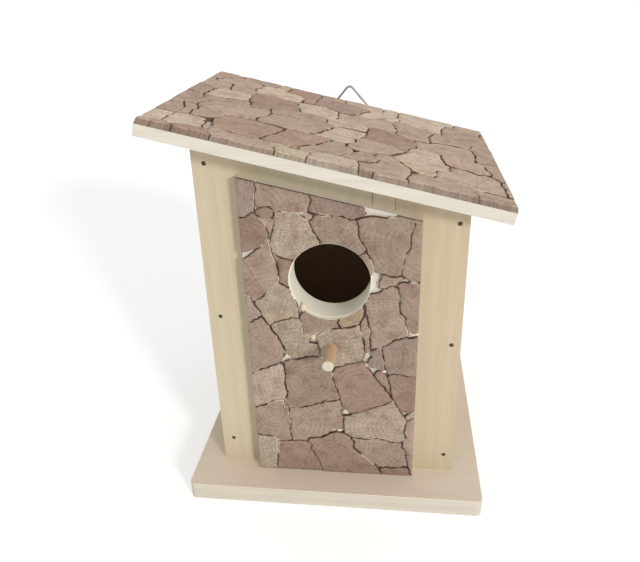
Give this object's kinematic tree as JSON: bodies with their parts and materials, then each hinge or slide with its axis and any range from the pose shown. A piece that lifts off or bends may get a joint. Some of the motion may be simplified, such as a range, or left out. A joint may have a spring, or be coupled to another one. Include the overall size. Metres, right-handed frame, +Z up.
{
  "type": "nest box",
  "caption": "Small wooden nest box with a sloping roof, a round entrance hole, a perch and a wire hanger, its roof and front panel faced with crazy-paved wood slices.",
  "frame": {"origin": "centre of the base board's underside", "axes": "+Z up, the front with the entrance faces -Y, the roof falls towards +X"},
  "size_m": [0.1655, 0.1539, 0.2112],
  "materials": {
    "pine": "bare planed pine, matt",
    "pale_board": "bare pale board, matt",
    "wood_slices": "rough-sawn thin slices, matt",
    "dowel": "bare hardwood dowel, matt",
    "steel_wire": "bright drawn wire, dulled",
    "nail_steel": "dark bare steel"
  },
  "bodies": {
    "root": {"base_board": "pine", "front_board": "pine", "back_board": "pine", "left_wall": "pine", "right_wall": "pine", "roof_board": "pale_board", "panel_backing": "pale_board", "roof_slices": "wood_slices", "panel_slices": "wood_slices", "perch": "dowel", "hanger_wire": "steel_wire", "hanger_staple_left": "steel_wire", "hanger_staple_right": "steel_wire", "front_nail_left_top": "nail_steel", "front_nail_left_middle": "nail_steel", "front_nail_left_bottom": "nail_steel", "front_nail_right_top": "nail_steel", "front_nail_right_middle": "nail_steel", "front_nail_right_bottom": "nail_steel", "back_nail_left_top": "nail_steel", "back_nail_left_middle": "nail_steel", "back_nail_left_bottom": "nail_steel", "back_nail_right_top": "nail_steel", "back_nail_right_middle": "nail_steel", "back_nail_right_bottom": "nail_steel", "base_nail_left_front": "nail_steel", "base_nail_left_back": "nail_steel", "base_nail_right_front": "nail_steel", "base_nail_right_back": "nail_steel"}
  },
  "joints": []
}
